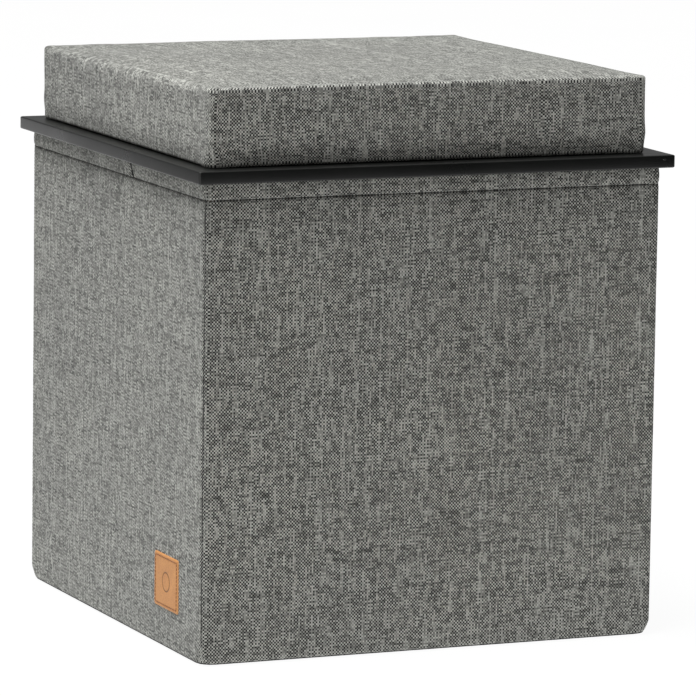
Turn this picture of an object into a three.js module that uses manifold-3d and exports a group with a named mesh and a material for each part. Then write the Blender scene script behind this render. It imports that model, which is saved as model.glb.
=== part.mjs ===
// Storage ottoman: a square fabric-covered box with a lift-off upholstered lid on a steel frame.
// Millimetres, +Z up, origin on the floor under the middle of the box.
// The front is -Y, and the leather tag is on the left side, -X.

import * as THREE from 'three';
import { mergeVertices } from 'three/addons/utils/BufferGeometryUtils.js';
import Module from 'manifold-3d';

const wasm = await Module();
wasm.setup();

// Driving dimensions
const GAP = 0.3; // between pieces that touch
const BOX_WIDTH = 382; // over the outer fabric, both ways
const BOX_HEIGHT = 372.7; // floor to the top of the binding
const FRAME_WIDTH = 400; // lid frame, outside, both ways
const RAIL_WIDTH = 30;
const RAIL_HEIGHT = 10;
const RAIL_WALL = 1.5;
const SEAT_WIDTH = 368; // over the cushion's fabric, both ways
const SEAT_HEIGHT = 58.7;
const SEAT_SHIFT = -2; // the cushion sits slightly to the left on its frame
const FABRIC = 1.2;
const LINING = 0.8;
const BOARD = 9; // wall and base panels
const SEAT_BOARD = 12;
const BOTTOM_CLOTH = 1;
const DUST_CLOTH = 0.6;
const BINDING_HEIGHT = 13;
const TAG = { width: 50, height: 42.5, thickness: 1.6, y: -117.5, z: 50.5 };

// Corner radii, seen from above
const FABRIC_CORNER = 5;
const PANEL_CORNER = 3.5;
const BASE_CORNER = 14;
const LINING_CORNER = 2;
const FRAME_CORNER = 2.5;
const RAIL_EDGE = 1.5; // along the tube
const SEAT_CORNER = 12;
const SEAT_EDGE = 5;
const CLOTH_CORNER = 2; // of the dust cloth and of the opening in the seat's margin
const TIGHTEST_CORNER = 1; // inside a ring whose outer corner is smaller than its wall

// Widths of the margins turned under the seat and under the base
const SEAT_MARGIN = 34;
const BASE_MARGIN = 26;
const BOTTOM_CLOTH_INSET = 4; // of the bottom cloth's edge from the fabric's outer face

// Plastic guides that keep the lid centred in the mouth of the box
const GUIDE = { leg: 40, thickness: 12, height: 11.7, play: 1.4 };

// Screws: radii, and lengths along the screw from the outer face of the head
const SEAT_SCREW = { head: 4, headHeight: 2.4, shank: 2, length: 23.7, sunk: false };
const GUIDE_SCREW = { head: 3.2, headHeight: 2, shank: 1.6, length: 14, sunk: false };
const PANEL_SCREW = { head: 4, headHeight: 2.4, shank: 2, length: 35, sunk: true };
const SCREW_TIP = 3;
const SCREW_DRIVE = { length: 4, width: 0.9, depth: 1.2 };
const SCREW_SIDES = 8;
const PAN_FACE = 0.75; // radius of a pan head's flat face, as a share of the head's
const SEAT_SCREW_OFFSET = 60; // along the rail from its middle
const GUIDE_SCREW_OFFSET = 150;
const CORNER_SCREW_LEVELS = [80, 290];
const BASE_SCREW_OFFSET = 110;
const SUNK_DEPTH = 1; // of a sunk head below the panel's face
const HOLE_LEAD = 2; // that a screw's hole starts outside its head
const CORNER_SCREW_INSET = 0.5; // of the corner screws towards the inside of the box
const GUIDE_RECESS = 4.3; // depth of the counterbore in a guide
const GUIDE_SCREW_OUTSET = 1.5; // of a guide's screws from the middle of its leg

// Levels above the floor
const MARGIN_Z = BOTTOM_CLOTH + GAP;
const BASE_Z = MARGIN_Z + FABRIC + GAP;
const WALL_Z = BASE_Z + BOARD + GAP;
const WALL_TOP = BOX_HEIGHT - FABRIC - GAP;
const BINDING_Z = BOX_HEIGHT - BINDING_HEIGHT;
const LID_Z = BOX_HEIGHT + GAP;

// Widths, all measured over both sides
const COVER_INSIDE = BOX_WIDTH - 2 * FABRIC;
const PANEL_WIDTH = COVER_INSIDE - 2 * GAP;
const PANEL_INSIDE = PANEL_WIDTH - 2 * BOARD;
const LINING_OUTSIDE = PANEL_INSIDE - 2 * GAP;
const MOUTH = LINING_OUTSIDE - 2 * LINING;
const FRAME_INSIDE = FRAME_WIDTH - 2 * RAIL_WIDTH;
const GUIDE_REACH = MOUTH / 2 - GUIDE.play;
const SEAT_INSIDE = SEAT_WIDTH - 2 * (FABRIC + GAP);

// Levels above the underside of the lid frame
const SEAT_Z = RAIL_HEIGHT + GAP;
const SEAT_BOARD_Z = SEAT_Z + FABRIC + GAP;
const FOAM_Z = SEAT_BOARD_Z + SEAT_BOARD + GAP;
const SEAT_TOP = SEAT_Z + SEAT_HEIGHT;

// Looks
const LOOKS = {
  fabric: { color: 0x84837d, roughness: 0.95, metalness: 0 },
  lining: { color: 0x2b2b2b, roughness: 0.95, metalness: 0 },
  blackCloth: { color: 0x161616, roughness: 0.95, metalness: 0 },
  steel: { color: 0x1c1c1b, roughness: 0.45, metalness: 0.4 },
  screw: { color: 0x9a9a96, roughness: 0.35, metalness: 0.9 },
  panel: { color: 0xa98660, roughness: 0.8, metalness: 0 },
  plywood: { color: 0xc9a878, roughness: 0.7, metalness: 0 },
  foam: { color: 0xe6dfc6, roughness: 0.95, metalness: 0 },
  plastic: { color: 0x1f1f1f, roughness: 0.6, metalness: 0 },
  leather: { color: 0xc08a56, roughness: 0.55, metalness: 0 },
};

const MERGE_DISTANCE = 1e-3;
const OVERSHOOT = 1; // of a cutting shape past the face that it cuts through
const CORNER_STEPS = 4;
const SEAT_EDGE_STEPS = 2;

// A closed geometry as a solid that can be joined and cut.
function solid(geometry) {
  const bare = geometry.clone();
  bare.deleteAttribute('normal');
  bare.deleteAttribute('uv');
  const merged = mergeVertices(bare, MERGE_DISTANCE);
  const vertProperties = merged.attributes.position.array;
  const triVerts = Uint32Array.from(merged.index.array);
  return new wasm.Manifold(new wasm.Mesh({ numProp: 3, vertProperties, triVerts }));
}

function geometryOf(body) {
  const mesh = body.getMesh();
  const geometry = new THREE.BufferGeometry();
  geometry.setAttribute('position', new THREE.BufferAttribute(mesh.vertProperties, 3));
  geometry.setIndex(new THREE.BufferAttribute(mesh.triVerts, 1));
  geometry.computeVertexNormals();
  return geometry;
}

function piece(name, body, look) {
  const mesh = new THREE.Mesh(geometryOf(body), new THREE.MeshStandardMaterial(look));
  mesh.name = name;
  return mesh;
}

function joined(bodies) {
  return bodies.reduce((sum, body) => sum.add(body));
}

// Outline points of a rectangle with round corners, counterclockwise round the origin.
function roundedOutline(width, depth, radius) {
  const points = [];
  for (let corner = 0; corner < 4; corner += 1) {
    const sideX = corner === 0 || corner === 3 ? 1 : -1;
    const sideY = corner < 2 ? 1 : -1;
    for (let step = 0; step <= CORNER_STEPS; step += 1) {
      const angle = (corner + step / CORNER_STEPS) * (Math.PI / 2);
      const x = sideX * (width / 2 - radius) + radius * Math.cos(angle);
      const y = sideY * (depth / 2 - radius) + radius * Math.sin(angle);
      points.push(new THREE.Vector2(x, y));
    }
  }
  return points;
}

// A flat plate with round corners between two levels.
function plate(width, depth, radius, low, high) {
  const shape = new THREE.Shape(roundedOutline(width, depth, radius));
  const geometry = new THREE.ExtrudeGeometry(shape, { depth: high - low, bevelEnabled: false });
  return solid(geometry.translate(0, 0, low));
}

// A square ring with round corners, such as a sleeve or a flat margin.
function ring(outside, inside, radius, low, high) {
  const innerRadius = Math.max(radius - (outside - inside) / 2, TIGHTEST_CORNER);
  const outer = plate(outside, outside, radius, low, high);
  return outer.subtract(plate(inside, inside, innerRadius, low - OVERSHOOT, high + OVERSHOOT));
}

function block(lowX, highX, lowY, highY, lowZ, highZ) {
  const geometry = new THREE.BoxGeometry(highX - lowX, highY - lowY, highZ - lowZ);
  return solid(geometry.translate((lowX + highX) / 2, (lowY + highY) / 2, (lowZ + highZ) / 2));
}

function turned(profile) {
  const points = profile.map(([radius, along]) => new THREE.Vector2(radius, along));
  return solid(new THREE.LatheGeometry(points, SCREW_SIDES).rotateX(Math.PI / 2));
}

// A screw along +Z, with the outer face of its head at the origin and a cross drive cut in it.
function screwBody({ head, headHeight, shank, length, sunk }) {
  const sunkHead = [[0, 0], [head, 0], [shank, headHeight]];
  const face = head * PAN_FACE;
  const panHead = [[0, 0], [face, 0], [head, headHeight / 2], [head, headHeight], [shank, headHeight]];
  const body = turned([...(sunk ? sunkHead : panHead), [shank, length - SCREW_TIP], [0, length]]);
  const arm = SCREW_DRIVE.length / 2;
  const half = SCREW_DRIVE.width / 2;
  const across = block(-arm, arm, -half, half, -OVERSHOOT, SCREW_DRIVE.depth);
  const upright = block(-half, half, -arm, arm, -OVERSHOOT, SCREW_DRIVE.depth);
  return body.subtract(across.add(upright));
}

// The hole that a screw needs, open behind its head.
function screwHole({ head, headHeight, shank, length, sunk }) {
  const wide = head + GAP;
  const narrow = shank + GAP;
  const sunkSeat = [[wide, GAP], [narrow, headHeight + GAP]];
  const flatSeat = [[wide, headHeight], [narrow, headHeight]];
  const mouth = [[0, -HOLE_LEAD], [wide, -HOLE_LEAD]];
  const end = [[narrow, length - SCREW_TIP], [0, length + GAP]];
  return turned([...mouth, ...(sunk ? sunkSeat : flatSeat), ...end]);
}

// Each screw's place is a matrix that takes its axis from +Z to where it is driven.
function place(x, y, z, turnX = 0) {
  const turn = new THREE.Matrix4().makeRotationX(turnX);
  return new THREE.Matrix4().makeTranslation(x, y, z).multiply(turn);
}

function seatScrewPlaces() {
  const reach = GUIDE_REACH - SEAT_SCREW.head;
  const level = -SEAT_SCREW.headHeight - GAP;
  const along = [-SEAT_SCREW_OFFSET, SEAT_SCREW_OFFSET];
  const frontAndBack = [-reach, reach].flatMap((y) => along.map((x) => place(x, y, level)));
  const leftAndRight = [-reach, reach].flatMap((x) => along.map((y) => place(x, y, level)));
  return [...frontAndBack, ...leftAndRight];
}

function guideScrewPlaces() {
  const near = GUIDE_REACH - GUIDE.thickness / 2 + GUIDE_SCREW_OUTSET;
  const level = -GUIDE.height - GAP + GUIDE_RECESS - GUIDE_SCREW.headHeight;
  const far = GUIDE_SCREW_OFFSET;
  const corners = [[-1, -1], [1, -1], [1, 1], [-1, 1]];
  return corners.flatMap(([x, y]) => [place(x * far, y * near, level), place(x * near, y * far, level)]);
}

function cornerScrewPlaces() {
  const side = (PANEL_INSIDE + BOARD) / 2 - CORNER_SCREW_INSET;
  const face = PANEL_WIDTH / 2 - SUNK_DEPTH;
  const places = [];
  for (const x of [-side, side]) {
    for (const z of CORNER_SCREW_LEVELS) {
      places.push(place(x, -face, z, -Math.PI / 2));
      places.push(place(x, face, z, Math.PI / 2));
    }
  }
  return places;
}

function baseScrewPlaces() {
  const side = (PANEL_INSIDE + BOARD) / 2;
  const level = BASE_Z + SUNK_DEPTH;
  const along = [-BASE_SCREW_OFFSET, BASE_SCREW_OFFSET];
  return [-side, side].flatMap((a) => along.flatMap((b) => [place(a, b, level), place(b, a, level)]));
}

function holes(screw, places) {
  return joined(places.map((matrix) => screwHole(screw).transform(matrix.elements)));
}

function screws(name, screw, places) {
  return places.map((matrix, index) => {
    const mesh = piece(`${name}_${index + 1}`, screwBody(screw), LOOKS.screw);
    mesh.applyMatrix4(matrix);
    return mesh;
  });
}

// One side of the lid frame, in front: a rectangular tube mitred at both ends.
function rail() {
  const outline = new THREE.Shape(roundedOutline(RAIL_WIDTH, RAIL_HEIGHT, RAIL_EDGE));
  const boreWidth = RAIL_WIDTH - 2 * RAIL_WALL;
  const boreHeight = RAIL_HEIGHT - 2 * RAIL_WALL;
  outline.holes.push(new THREE.Path(roundedOutline(boreWidth, boreHeight, RAIL_EDGE / 2)));
  const tube = new THREE.ExtrudeGeometry(outline, { depth: FRAME_WIDTH, bevelEnabled: false });
  const alongX = new THREE.Matrix4().makeBasis(
    new THREE.Vector3(0, 1, 0),
    new THREE.Vector3(0, 0, 1),
    new THREE.Vector3(1, 0, 0),
  );
  tube.applyMatrix4(alongX);
  tube.translate(-FRAME_WIDTH / 2, (RAIL_WIDTH - FRAME_WIDTH) / 2, RAIL_HEIGHT / 2);
  const frame = plate(FRAME_WIDTH, FRAME_WIDTH, FRAME_CORNER, -OVERSHOOT, RAIL_HEIGHT + OVERSHOOT);
  return solid(tube).intersect(frame).intersect(mitreWedge());
}

// The wedge of the lid frame that belongs to its front side.
function mitreWedge() {
  const outer = FRAME_WIDTH / 2 + OVERSHOOT;
  const inner = FRAME_INSIDE / 2 - OVERSHOOT;
  const wedge = new THREE.Shape([
    new THREE.Vector2(-outer + GAP, -outer),
    new THREE.Vector2(outer - GAP, -outer),
    new THREE.Vector2(inner - GAP, -inner),
    new THREE.Vector2(-inner + GAP, -inner),
  ]);
  const depth = RAIL_HEIGHT + 2 * OVERSHOOT;
  const geometry = new THREE.ExtrudeGeometry(wedge, { depth, bevelEnabled: false });
  return solid(geometry.translate(0, 0, -OVERSHOOT));
}

function frameRails() {
  const guideHoles = holes(GUIDE_SCREW, guideScrewPlaces());
  const seatHoles = holes(SEAT_SCREW, seatScrewPlaces());
  return ['front', 'right', 'back', 'left'].map((side, turns) => {
    const body = rail().rotate([0, 0, turns * 90]).subtract(guideHoles).subtract(seatHoles);
    return piece(`frame_rail_${side}`, body, LOOKS.steel);
  });
}

// A plastic angle under each corner of the frame, just inside the mouth of the box.
function lidGuides() {
  const reach = GUIDE_REACH;
  const inner = reach - GUIDE.thickness;
  const tip = reach - GUIDE.leg;
  const recesses = holes(GUIDE_SCREW, guideScrewPlaces());
  const alongX = block(-reach, -tip, -reach, -inner, -GUIDE.height - GAP, -GAP);
  const alongY = block(-reach, -inner, -reach, -tip, -GUIDE.height - GAP, -GAP);
  const angle = alongX.add(alongY);
  const corners = ['front_left', 'front_right', 'back_right', 'back_left'];
  return corners.map((corner, turns) => {
    const body = angle.rotate([0, 0, turns * 90]).subtract(recesses);
    return piece(`lid_guide_${corner}`, body, LOOKS.plastic);
  });
}

// The seat board and the foam together fill the cushion's cover.
function seatFilling() {
  const filling = softBlock(SEAT_INSIDE, SEAT_CORNER - FABRIC, SEAT_BOARD_Z, SEAT_TOP - FABRIC - GAP);
  return filling.translate([SEAT_SHIFT, 0, 0]);
}

function seatBoard() {
  const slab = plate(FRAME_WIDTH, FRAME_WIDTH, FRAME_CORNER, SEAT_BOARD_Z, SEAT_BOARD_Z + SEAT_BOARD);
  const board = seatFilling().intersect(slab).subtract(holes(SEAT_SCREW, seatScrewPlaces()));
  return piece('seat_board', board, LOOKS.plywood);
}

function seatFoam() {
  const slab = plate(FRAME_WIDTH, FRAME_WIDTH, FRAME_CORNER, FOAM_Z, SEAT_TOP);
  return piece('seat_foam', seatFilling().intersect(slab), LOOKS.foam);
}

// A square block with rounded edges, as foam is under its cover.
function softBlock(width, radius, low, high) {
  const flat = width - 2 * SEAT_EDGE;
  const shape = new THREE.Shape(roundedOutline(flat, flat, radius - SEAT_EDGE));
  const geometry = new THREE.ExtrudeGeometry(shape, {
    depth: high - low - 2 * SEAT_EDGE,
    bevelThickness: SEAT_EDGE,
    bevelSize: SEAT_EDGE,
    bevelSegments: SEAT_EDGE_STEPS,
  });
  return solid(geometry.translate(0, 0, low + SEAT_EDGE));
}

// The cushion's fabric: top, sides and a margin turned under the seat board.
function seatCover() {
  const skin = softBlock(SEAT_WIDTH, SEAT_CORNER, SEAT_Z, SEAT_TOP);
  const pocketWidth = SEAT_INSIDE + 2 * GAP;
  const pocket = softBlock(pocketWidth, SEAT_CORNER - FABRIC, SEAT_Z + FABRIC, SEAT_TOP - FABRIC);
  const opening = SEAT_WIDTH - 2 * SEAT_MARGIN;
  const below = plate(opening, opening, CLOTH_CORNER, SEAT_Z - OVERSHOOT, SEAT_Z + FABRIC + OVERSHOOT);
  const cover = skin.subtract(pocket).subtract(below).translate([SEAT_SHIFT, 0, 0]);
  return piece('seat_cover', cover.subtract(holes(SEAT_SCREW, seatScrewPlaces())), LOOKS.fabric);
}

// The black cloth that closes the underside of the seat, inside the lid frame.
function dustCover() {
  const width = FRAME_INSIDE - 2 * GAP;
  const top = SEAT_Z - GAP;
  return piece('dust_cover', plate(width, width, CLOTH_CORNER, top - DUST_CLOTH, top), LOOKS.blackCloth);
}

function lid() {
  const group = new THREE.Group();
  group.position.z = LID_Z;
  group.add(...frameRails(), ...lidGuides(), dustCover(), seatBoard(), seatFoam(), seatCover());
  group.add(...screws('seat_screw', SEAT_SCREW, seatScrewPlaces()));
  group.add(...screws('guide_screw', GUIDE_SCREW, guideScrewPlaces()));
  return group;
}

// Front and back panels run the full width, and the side panels stand between them.
function wallPanels() {
  const outer = PANEL_WIDTH / 2;
  const inner = PANEL_INSIDE / 2;
  const rounded = plate(PANEL_WIDTH, PANEL_WIDTH, PANEL_CORNER, WALL_Z, WALL_TOP);
  const drilled = rounded
    .subtract(holes(PANEL_SCREW, cornerScrewPlaces()))
    .subtract(holes(PANEL_SCREW, baseScrewPlaces()));
  const butt = inner - GAP;
  const walls = {
    wall_front: block(-outer, outer, -outer, -inner, WALL_Z, WALL_TOP),
    wall_back: block(-outer, outer, inner, outer, WALL_Z, WALL_TOP),
    wall_left: block(-outer, -inner, -butt, butt, WALL_Z, WALL_TOP),
    wall_right: block(inner, outer, -butt, butt, WALL_Z, WALL_TOP),
  };
  return Object.entries(walls).map(([name, body]) => piece(name, body.intersect(drilled), LOOKS.panel));
}

function basePanel() {
  const panel = plate(PANEL_WIDTH, PANEL_WIDTH, BASE_CORNER, BASE_Z, BASE_Z + BOARD);
  return piece('base_panel', panel.subtract(holes(PANEL_SCREW, baseScrewPlaces())), LOOKS.panel);
}

// The outer fabric: a sleeve round the box with a margin turned under the base.
function outerCover() {
  const top = BINDING_Z - GAP;
  const sleeve = ring(BOX_WIDTH, COVER_INSIDE, FABRIC_CORNER, MARGIN_Z, top);
  const margin = ring(BOX_WIDTH, BOX_WIDTH - 2 * BASE_MARGIN, FABRIC_CORNER, MARGIN_Z, MARGIN_Z + FABRIC);
  return piece('outer_cover', sleeve.add(margin), LOOKS.fabric);
}

// The fabric strip folded over the mouth of the box.
function hemBinding() {
  const top = BOX_HEIGHT - FABRIC;
  const outerLeg = ring(BOX_WIDTH, COVER_INSIDE, FABRIC_CORNER, BINDING_Z, BOX_HEIGHT);
  const innerLeg = ring(LINING_OUTSIDE, MOUTH, LINING_CORNER, BINDING_Z, BOX_HEIGHT);
  const bridge = ring(BOX_WIDTH, MOUTH, FABRIC_CORNER, top, BOX_HEIGHT);
  return piece('hem_binding', joined([outerLeg, innerLeg, bridge]), LOOKS.fabric);
}

// The lining is a cloth tray that covers the floor and the walls inside.
function lining() {
  const floor = WALL_Z + LINING;
  const top = BINDING_Z - GAP;
  const outside = plate(LINING_OUTSIDE, LINING_OUTSIDE, LINING_CORNER, WALL_Z, top);
  const pocket = plate(MOUTH, MOUTH, LINING_CORNER, floor, top + OVERSHOOT);
  return piece('lining', outside.subtract(pocket), LOOKS.lining);
}

function bottomCloth() {
  const width = BOX_WIDTH - 2 * BOTTOM_CLOTH_INSET;
  return piece('bottom_cloth', plate(width, width, BASE_CORNER, 0, BOTTOM_CLOTH), LOOKS.blackCloth);
}

function leatherTag() {
  const tag = plate(TAG.thickness, TAG.width, TAG.thickness / 4, -TAG.height / 2, TAG.height / 2);
  const mesh = piece('leather_tag', tag, LOOKS.leather);
  mesh.position.set(-(BOX_WIDTH + TAG.thickness) / 2 - GAP, TAG.y, TAG.z);
  return mesh;
}

function box() {
  const group = new THREE.Group();
  group.add(...wallPanels(), basePanel(), lining());
  group.add(outerCover(), hemBinding(), bottomCloth(), leatherTag());
  group.add(...screws('corner_screw', PANEL_SCREW, cornerScrewPlaces()));
  group.add(...screws('base_screw', PANEL_SCREW, baseScrewPlaces()));
  return group;
}

const ottoman = new THREE.Group();
ottoman.add(box(), lid());

export default ottoman;
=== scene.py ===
"""Looks of the storage ottoman: fabric, frame, leather tag and studio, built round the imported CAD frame.

Metres, in the frame's own axes: +Z up, the front is -Y, and the leather tag is on the left side, -X.
"""

import math
import random

import bmesh
import bpy
import numpy as np
from mathutils import Matrix, Vector, noise


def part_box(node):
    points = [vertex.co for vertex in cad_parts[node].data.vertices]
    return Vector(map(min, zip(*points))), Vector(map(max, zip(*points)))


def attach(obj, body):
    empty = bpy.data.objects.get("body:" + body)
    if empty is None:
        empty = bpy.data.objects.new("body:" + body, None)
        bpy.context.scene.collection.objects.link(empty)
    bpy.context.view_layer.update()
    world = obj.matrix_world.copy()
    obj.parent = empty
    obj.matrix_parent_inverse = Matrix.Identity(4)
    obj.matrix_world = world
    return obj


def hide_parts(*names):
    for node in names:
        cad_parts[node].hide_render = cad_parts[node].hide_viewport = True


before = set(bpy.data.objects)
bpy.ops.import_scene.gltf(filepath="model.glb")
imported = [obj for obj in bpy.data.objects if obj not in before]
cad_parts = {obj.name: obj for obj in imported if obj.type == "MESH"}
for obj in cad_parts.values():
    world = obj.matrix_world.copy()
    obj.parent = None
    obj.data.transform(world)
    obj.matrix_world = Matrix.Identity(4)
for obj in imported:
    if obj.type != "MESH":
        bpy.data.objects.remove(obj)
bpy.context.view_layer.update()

MM = 0.001
WEAVE_UV = "weave"  # every fabric's UV map is in metres along the cloth

# Sizes taken from the frame
cover_low, cover_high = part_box("outer_cover")
hem_low, hem_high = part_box("hem_binding")
lining_low, lining_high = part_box("lining")
rail_low, rail_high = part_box("frame_rail_front")
seat_low, seat_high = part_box("seat_cover")
tag_low, tag_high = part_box("leather_tag")
dust_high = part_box("dust_cover")[1]
bottom_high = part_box("bottom_cloth")[1]

COVER_HALF = cover_high.x + 0.6 * MM  # the fabric stands a little proud of its solid
COVER_PLAN = 3.5 * MM  # radius of the box's upright corners
CLOTH = 1.2 * MM
FRAME_HALF = -rail_low.y
RAIL_WIDTH = rail_high.y - rail_low.y


# ---------------- meshes


def linked(name, data):
    """A new object in the scene."""
    piece = bpy.data.objects.new(name, data)
    bpy.context.scene.collection.objects.link(piece)
    return piece


def finish_mesh(name, points, faces, uvs=None):
    """An object from points, faces and one UV pair per face corner, with its faces turned outwards."""
    mesh = bpy.data.meshes.new(name)
    mesh.from_pydata([tuple(p) for p in points], [], faces)
    if uvs is not None:
        layer = mesh.uv_layers.new(name=WEAVE_UV)
        layer.data.foreach_set("uv", np.asarray(uvs, np.float32).ravel())
    built = bmesh.new()
    built.from_mesh(mesh)
    bmesh.ops.recalc_face_normals(built, faces=built.faces)
    built.to_mesh(mesh)
    built.free()
    mesh.polygons.foreach_set("use_smooth", [True] * len(mesh.polygons))
    return linked(name, mesh)


OUTWARD = np.array([[0, -1], [1, 0], [0, 1], [-1, 0]], float)  # front, right, back, left
ALONG = np.array([[1, 0], [0, 1], [-1, 0], [0, -1]], float)


def stations(per_side, per_corner, crowd=0.35):
    """Places round a square: side, place along its straight part (-1 to 1), and share of the corner turned.
    crowd is how much they gather towards the corners."""
    t = np.linspace(-1, 1, per_side)
    t = (1 - crowd) * t + crowd * np.sin(t * math.pi / 2)
    corner = np.linspace(0, 1, per_corner + 2)[1:-1]
    rows = []
    for side in range(4):
        rows += [(side, a, 0.0) for a in t]
        rows += [(side, 1.0, b) for b in corner]
    return np.array(rows)


def outline(rows, half, radius):
    """Points, outward normals and running length of the stations on a square of that half width."""
    side = rows[:, 0].astype(int)
    flat = half - radius
    angle = rows[:, 2] * math.pi / 2
    normal = OUTWARD[side] * np.cos(angle)[:, None] + ALONG[side] * np.sin(angle)[:, None]
    centre = OUTWARD[side] * flat + ALONG[side] * (rows[:, 1] * flat)[:, None]
    length = side * (2 * flat + radius * math.pi / 2) + (rows[:, 1] + 1) * flat + radius * angle
    return centre + normal * radius, normal, length


def ring(name, rows, profile, shape=None):
    """A band round the square, from a closed profile of (half width, corner radius, height).
    shape(points, normals) may move the points; both are grids of profile by station."""
    at, out, run = [], [], []
    for half, radius, height in profile:
        xy, normal, length = outline(rows, half, radius)
        at.append(np.column_stack([xy, np.full(len(rows), height)]))
        out.append(np.column_stack([normal, np.zeros(len(rows))]))
        run.append(length)
    at, out, run = np.array(at), np.array(out), np.array(run)
    half, radius, _ = profile[0]
    around = 4 * (2 * (half - radius) + radius * math.pi / 2)
    if shape:
        at = shape(at, out)
    path = np.array([(p[0], p[2]) for p in profile] + [(profile[0][0], profile[0][2])])
    down = np.concatenate([[0], np.cumsum(np.linalg.norm(np.diff(path, axis=0), axis=1))])
    count, places = at.shape[:2]
    faces, uvs = [], []
    for k in range(count):
        for n in range(places):
            k2, n2 = (k + 1) % count, (n + 1) % places
            faces.append((k * places + n, k * places + n2, k2 * places + n2, k2 * places + n))
            u1, u2 = run[0, n], run[0, n2] if n2 else around
            v1, v2 = -down[k], -down[k + 1]
            uvs += [(u1, v1), (u2, v1), (u2, v2), (u1, v2)]
    return finish_mesh(name, at.reshape(-1, 3), faces, uvs)


def shell_faces(wide, deep):
    """Faces of a closed shell over two grids of points, of which the second lies behind the first."""
    behind = wide * deep
    faces = []
    for j in range(deep - 1):
        for i in range(wide - 1):
            a = j * wide + i
            b = behind + a
            faces.append((a, a + 1, a + wide + 1, a + wide))
            faces.append((b, b + wide, b + wide + 1, b + 1))
    rim = list(range(wide)) + [j * wide + wide - 1 for j in range(1, deep)]
    rim += [(deep - 1) * wide + i for i in range(wide - 2, -1, -1)]
    rim += [j * wide for j in range(deep - 2, 0, -1)]
    for a, b in zip(rim, rim[1:] + rim[:1]):
        faces.append((a, behind + a, behind + b, b))
    return faces


def slab(name, grid, lift, thickness):
    """A thin closed sheet over a square grid of places, at height lift(x, y), with a thickness downwards."""
    top = [(x, y, lift(x, y)) for y in grid for x in grid]
    points = top + [(x, y, z - thickness) for x, y, z in top]
    faces = shell_faces(len(grid), len(grid))
    return finish_mesh(name, points, faces, [points[v][:2] for face in faces for v in face])


def round_corner(x, y, half_x, half_y, radius):
    """A place in a rectangle, moved inwards where the rectangle's corner is rounded."""
    flat_x, flat_y = half_x - radius, half_y - radius
    past_x, past_y = max(abs(x) - flat_x, 0), max(abs(y) - flat_y, 0)
    if past_x > 0 and past_y > 0:
        scale = max(past_x, past_y) / math.hypot(past_x, past_y)
        x = math.copysign(flat_x + past_x * scale, x)
        y = math.copysign(flat_y + past_y * scale, y)
    return x, y


def from_bmesh(name, built):
    """An object from a bmesh, which is freed."""
    mesh = bpy.data.meshes.new(name)
    built.to_mesh(mesh)
    built.free()
    return linked(name, mesh)


def arc(plan, half, height, radius, start, end, steps):
    """Rows of a profile along a round stretch, in degrees: 0 points outwards and 90 up."""
    angles = np.radians(np.linspace(start, end, steps))
    return [(half + radius * math.cos(a), plan, height + radius * math.sin(a)) for a in angles]


def smoothstep(x):
    x = np.clip(x, 0, 1)
    return x * x * (3 - 2 * x)


def bell(x):
    """1 at 0, falling to about a third at 1 and to nothing by 3."""
    return np.exp(-(x ** 2))


def ripple(x, y, size, seed):
    """Smooth noise from about -1 to 1 over a flat cloth."""
    return noise.noise(Vector((x / size, y / size, seed)))


def soft_noise(points, scale, seed, squash=1.0):
    """Smooth noise from about -1 to 1 at each point, with features of that size. A squash below 1 makes
    them taller."""
    shift = Vector((seed * 17.3, seed * 5.1, seed * 9.7))
    flat = (points * np.array([1, 1, squash])).reshape(-1, 3)
    values = [noise.noise(Vector(p) / scale + shift) for p in flat]
    return np.array(values).reshape(points.shape[:-1])


# ---------------- shader helpers


def linear(red, green, blue):
    """An sRGB colour given from 0 to 255 as linear RGBA."""
    def channel(c):
        c = c / 255
        return c / 12.92 if c <= 0.04045 else ((c + 0.055) / 1.055) ** 2.4

    return channel(red), channel(green), channel(blue), 1.0


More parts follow.
